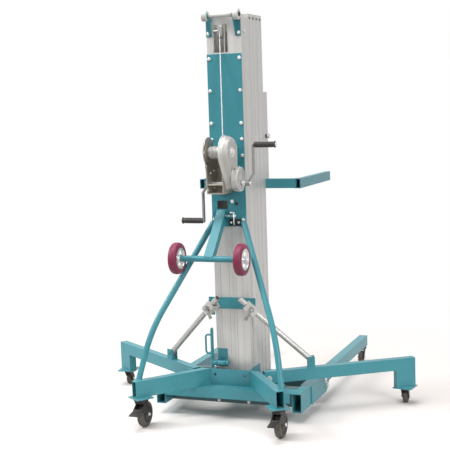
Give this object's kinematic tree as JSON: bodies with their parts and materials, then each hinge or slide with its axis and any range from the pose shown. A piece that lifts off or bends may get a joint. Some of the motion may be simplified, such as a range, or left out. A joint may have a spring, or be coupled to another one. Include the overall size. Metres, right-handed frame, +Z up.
{
  "type": "material hoist",
  "caption": "Hand-winched telescopic material hoist: nested alloy mast, fork carriage, folding wheeled legs, braced stabiliser arms and tip-back loading wheels.",
  "frame": {"origin": "on the floor, in the middle of the bounding box's plan", "axes": "+X to the operator's right, +Y forward along the forks, +Z up along the mast"},
  "size_m": [1.6868, 1.7012, 2.016],
  "materials": {
    "teal_paint": "satin",
    "mast_alloy": "satin, drawn",
    "cast_alloy": "satin",
    "galvanised": "zinc plated",
    "bright_steel": "zinc plated",
    "dark_steel": "dark plated",
    "white_plastic": "matte",
    "maroon_rubber": "matte",
    "black_plastic": "matte",
    "black_rubber": "matte"
  },
  "bodies": {
    "base": {"chassis_channel": "teal_paint", "cross_tubes": "teal_paint", "side_rails": "teal_paint", "rear_legs": "teal_paint", "mast_foot": "teal_paint", "stays": "teal_paint", "mast_outer": "mast_alloy", "winch_panel": "teal_paint", "brace_bracket": "teal_paint", "mast_brackets": "galvanised", "roller_ears": "teal_paint", "winch_frame": "galvanised", "gear_cover": "cast_alloy", "brake_housing": "galvanised", "frame_bolts": "bright_steel", "hoist_cable": "bright_steel"},
    "mast_2": {"mast_2": "mast_alloy"},
    "mast_3": {"mast_3": "mast_alloy"},
    "mast_4": {"mast_4": "mast_alloy"},
    "mast_5": {"mast_5": "mast_alloy"},
    "carriage": {"carriage": "mast_alloy", "forks": "teal_paint", "carriage_knob": "bright_steel"},
    "top_roller": {"top_roller": "white_plastic"},
    "cable_sheave": {"cable_sheave": "white_plastic"},
    "drum": {"cable_drum": "galvanised", "drum_cable": "bright_steel", "drum_gear": "bright_steel"},
    "idler_gear": {"idler_gear": "bright_steel"},
    "crank": {"crank_shaft": "bright_steel", "crank_arms": "dark_steel"},
    "grip_left": {"grip_left": "black_plastic"},
    "grip_right": {"grip_right": "black_plastic"},
    "wheel_strut": {"wheel_strut": "teal_paint"},
    "loading_wheel_left": {"loading_wheel_left": "maroon_rubber"},
    "loading_wheel_right": {"loading_wheel_right": "maroon_rubber"},
    "strut_pin": {"strut_pin": "bright_steel"},
    "hold_down_lever": {"hold_down_lever": "teal_paint"},
    "arm_left": {"arm_left": "teal_paint"},
    "brace_left": {"brace_left": "galvanised"},
    "clamp_lever_left": {"clamp_lever_left": "bright_steel"},
    "arm_caster_fork_left": {"arm_caster_fork_left": "dark_steel"},
    "arm_caster_wheel_left": {"arm_caster_wheel_left": "black_rubber"},
    "front_leg_left": {"front_leg_left": "teal_paint"},
    "leg_caster_fork_left": {"leg_caster_fork_left": "dark_steel"},
    "leg_caster_wheel_left": {"leg_caster_wheel_left": "black_rubber"},
    "rear_caster_fork_left": {"rear_caster_fork_left": "dark_steel"},
    "rear_caster_wheel_left": {"rear_caster_wheel_left": "black_rubber"},
    "brake_pedal_left": {"brake_pedal_left": "black_plastic"},
    "arm_right": {"arm_right": "teal_paint"},
    "brace_right": {"brace_right": "galvanised"},
    "clamp_lever_right": {"clamp_lever_right": "bright_steel"},
    "arm_caster_fork_right": {"arm_caster_fork_right": "dark_steel"},
    "arm_caster_wheel_right": {"arm_caster_wheel_right": "black_rubber"},
    "front_leg_right": {"front_leg_right": "teal_paint"},
    "leg_caster_fork_right": {"leg_caster_fork_right": "dark_steel"},
    "leg_caster_wheel_right": {"leg_caster_wheel_right": "black_rubber"},
    "rear_caster_fork_right": {"rear_caster_fork_right": "dark_steel"},
    "rear_caster_wheel_right": {"rear_caster_wheel_right": "black_rubber"},
    "brake_pedal_right": {"brake_pedal_right": "black_plastic"}
  },
  "joints": [
    {"name": "mast_2_slide", "type": "slide", "parent": "base", "child": "mast_2", "axis": [0, 0, 1], "range_m": [0, 1.4]},
    {"name": "mast_3_slide", "type": "slide", "parent": "mast_2", "child": "mast_3", "axis": [0, 0, 1], "range_m": [0, 1.4]},
    {"name": "mast_4_slide", "type": "slide", "parent": "mast_3", "child": "mast_4", "axis": [0, 0, 1], "range_m": [0, 1.4]},
    {"name": "mast_5_slide", "type": "slide", "parent": "mast_4", "child": "mast_5", "axis": [0, 0, 1], "range_m": [0, 1.4]},
    {"name": "carriage_slide", "type": "slide", "parent": "mast_5", "child": "carriage", "axis": [0, 0, 1], "range_m": [-0.95, 0.36], "deforming": ["hoist_cable"]},
    {"name": "top_roller_spin", "type": "hinge", "parent": "base", "child": "top_roller", "pos_m": [0, -0.41741, 1.989], "axis": [1, 0, 0], "continuous": true},
    {"name": "sheave_spin", "type": "hinge", "parent": "base", "child": "cable_sheave", "pos_m": [-0.024, -0.34741, 1.915], "axis": [1, 0, 0], "range_deg": [-1830, 700]},
    {"name": "drum_spin", "type": "hinge", "parent": "base", "child": "drum", "pos_m": [0, -0.50841, 1.326], "axis": [1, 0, 0], "range_deg": [-740, 1940]},
    {"name": "idler_spin", "type": "hinge", "parent": "base", "child": "idler_gear", "pos_m": [0.04, -0.48226, 1.22741], "axis": [1, 0, 0], "range_deg": [-3540, 1350]},
    {"name": "crank_spin", "type": "hinge", "parent": "base", "child": "crank", "pos_m": [0, -0.46841, 1.17522], "axis": [1, 0, 0], "range_deg": [-2690, 7070]},
    {"name": "grip_left_spin", "type": "hinge", "parent": "crank", "child": "grip_left", "pos_m": [-0.16, -0.46841, 0.99022], "axis": [1, 0, 0], "continuous": true},
    {"name": "grip_right_spin", "type": "hinge", "parent": "crank", "child": "grip_right", "pos_m": [0.24, -0.46841, 1.36022], "axis": [1, 0, 0], "continuous": true},
    {"name": "strut_hinge", "type": "hinge", "parent": "base", "child": "wheel_strut", "pos_m": [-0.034, -0.39141, 1.024], "axis": [-1, 0, 0], "range_deg": [0, 35]},
    {"name": "loading_wheel_left_spin", "type": "hinge", "parent": "wheel_strut", "child": "loading_wheel_left", "pos_m": [-0.202, -0.59078, 0.81755], "axis": [1, 0, 0], "continuous": true},
    {"name": "loading_wheel_right_spin", "type": "hinge", "parent": "wheel_strut", "child": "loading_wheel_right", "pos_m": [0.134, -0.59078, 0.81755], "axis": [1, 0, 0], "continuous": true},
    {"name": "strut_pin_slide", "type": "slide", "parent": "base", "child": "strut_pin", "axis": [1, 0, 0], "range_m": [-0.012, 0]},
    {"name": "arm_left_hinge", "type": "hinge", "parent": "base", "child": "arm_left", "pos_m": [-0.2, -0.43141, 0.21], "axis": [0.3893, 0.9211, 0], "range_deg": [0, 15]},
    {"name": "brace_left_hinge", "type": "hinge", "parent": "arm_left", "child": "brace_left", "pos_m": [-0.37892, -0.29999, 0.276], "axis": [0.3893, 0.9211, 0], "range_deg": [-20, 5]},
    {"name": "clamp_lever_left_hinge", "type": "hinge", "parent": "base", "child": "clamp_lever_left", "pos_m": [-0.12182, -0.44013, 0.54551], "axis": [0.3893, 0.9211, 0], "range_deg": [0, 90]},
    {"name": "arm_caster_left_swivel", "type": "hinge", "parent": "arm_left", "child": "arm_caster_fork_left", "pos_m": [-0.78752, 0.00016, 0.08], "axis": [0, 0, 1], "continuous": true},
    {"name": "arm_caster_left_spin", "type": "hinge", "parent": "arm_caster_fork_left", "child": "arm_caster_wheel_left", "pos_m": [-0.78752, 0.01816, 0.0325], "axis": [1, 0, 0], "continuous": true},
    {"name": "front_leg_left_hinge", "type": "hinge", "parent": "base", "child": "front_leg_left", "pos_m": [-0.361, -0.10141, 0.122], "axis": [1, 0, 0], "range_deg": [0, 90]},
    {"name": "leg_caster_left_swivel", "type": "hinge", "parent": "front_leg_left", "child": "leg_caster_fork_left", "pos_m": [-0.361, 0.81159, 0.09], "axis": [0, 0, 1], "continuous": true},
    {"name": "leg_caster_left_spin", "type": "hinge", "parent": "leg_caster_fork_left", "child": "leg_caster_wheel_left", "pos_m": [-0.361, 0.78959, 0.0375], "axis": [1, 0, 0], "continuous": true},
    {"name": "rear_caster_left_swivel", "type": "hinge", "parent": "base", "child": "rear_caster_fork_left", "pos_m": [-0.35084, -0.75129, 0.145], "axis": [0, 0, 1], "continuous": true},
    {"name": "rear_caster_left_spin", "type": "hinge", "parent": "rear_caster_fork_left", "child": "rear_caster_wheel_left", "pos_m": [-0.35084, -0.71529, 0.0625], "axis": [1, 0, 0], "continuous": true},
    {"name": "brake_pedal_left_hinge", "type": "hinge", "parent": "rear_caster_fork_left", "child": "brake_pedal_left", "pos_m": [-0.35084, -0.79529, 0.098], "axis": [1, 0, 0], "range_deg": [0, 18]},
    {"name": "arm_right_hinge", "type": "hinge", "parent": "base", "child": "arm_right", "pos_m": [0.2, -0.43141, 0.21], "axis": [0.3893, -0.9211, 0], "range_deg": [0, 15]},
    {"name": "brace_right_hinge", "type": "hinge", "parent": "arm_right", "child": "brace_right", "pos_m": [0.37892, -0.29999, 0.276], "axis": [0.3893, -0.9211, 0], "range_deg": [-20, 5]},
    {"name": "clamp_lever_right_hinge", "type": "hinge", "parent": "base", "child": "clamp_lever_right", "pos_m": [0.12182, -0.44013, 0.54551], "axis": [0.3893, -0.9211, 0], "range_deg": [0, 90]},
    {"name": "arm_caster_right_swivel", "type": "hinge", "parent": "arm_right", "child": "arm_caster_fork_right", "pos_m": [0.78752, 0.00016, 0.08], "axis": [0, 0, 1], "continuous": true},
    {"name": "arm_caster_right_spin", "type": "hinge", "parent": "arm_caster_fork_right", "child": "arm_caster_wheel_right", "pos_m": [0.78752, 0.01816, 0.0325], "axis": [1, 0, 0], "continuous": true},
    {"name": "front_leg_right_hinge", "type": "hinge", "parent": "base", "child": "front_leg_right", "pos_m": [0.361, -0.10141, 0.122], "axis": [1, 0, 0], "range_deg": [0, 90]},
    {"name": "leg_caster_right_swivel", "type": "hinge", "parent": "front_leg_right", "child": "leg_caster_fork_right", "pos_m": [0.361, 0.81159, 0.09], "axis": [0, 0, 1], "continuous": true},
    {"name": "leg_caster_right_spin", "type": "hinge", "parent": "leg_caster_fork_right", "child": "leg_caster_wheel_right", "pos_m": [0.361, 0.78959, 0.0375], "axis": [1, 0, 0], "continuous": true},
    {"name": "rear_caster_right_swivel", "type": "hinge", "parent": "base", "child": "rear_caster_fork_right", "pos_m": [0.35084, -0.75129, 0.145], "axis": [0, 0, 1], "continuous": true},
    {"name": "rear_caster_right_spin", "type": "hinge", "parent": "rear_caster_fork_right", "child": "rear_caster_wheel_right", "pos_m": [0.35084, -0.71529, 0.0625], "axis": [1, 0, 0], "continuous": true},
    {"name": "brake_pedal_right_hinge", "type": "hinge", "parent": "rear_caster_fork_right", "child": "brake_pedal_right", "pos_m": [0.35084, -0.79529, 0.098], "axis": [1, 0, 0], "range_deg": [0, 18]},
    {"name": "hold_down_hinge", "type": "hinge", "parent": "base", "child": "hold_down_lever", "pos_m": [-0.06, -0.41341, 0.262], "axis": [1, 0, 0], "range_deg": [0, 75]}
  ],
  "couplings": [
    {"joint": "drum_spin", "follows": "carriage_slide", "rad_per_m": -35.336},
    {"joint": "idler_spin", "follows": "carriage_slide", "rad_per_m": 64.782},
    {"joint": "crank_spin", "follows": "carriage_slide", "rad_per_m": -129.56},
    {"joint": "sheave_spin", "follows": "carriage_slide", "rad_per_m": 33.333},
    {"joint": "brace_left_hinge", "follows": "arm_left_hinge", "ratio": -0.75},
    {"joint": "brace_right_hinge", "follows": "arm_right_hinge", "ratio": -0.75}
  ]
}
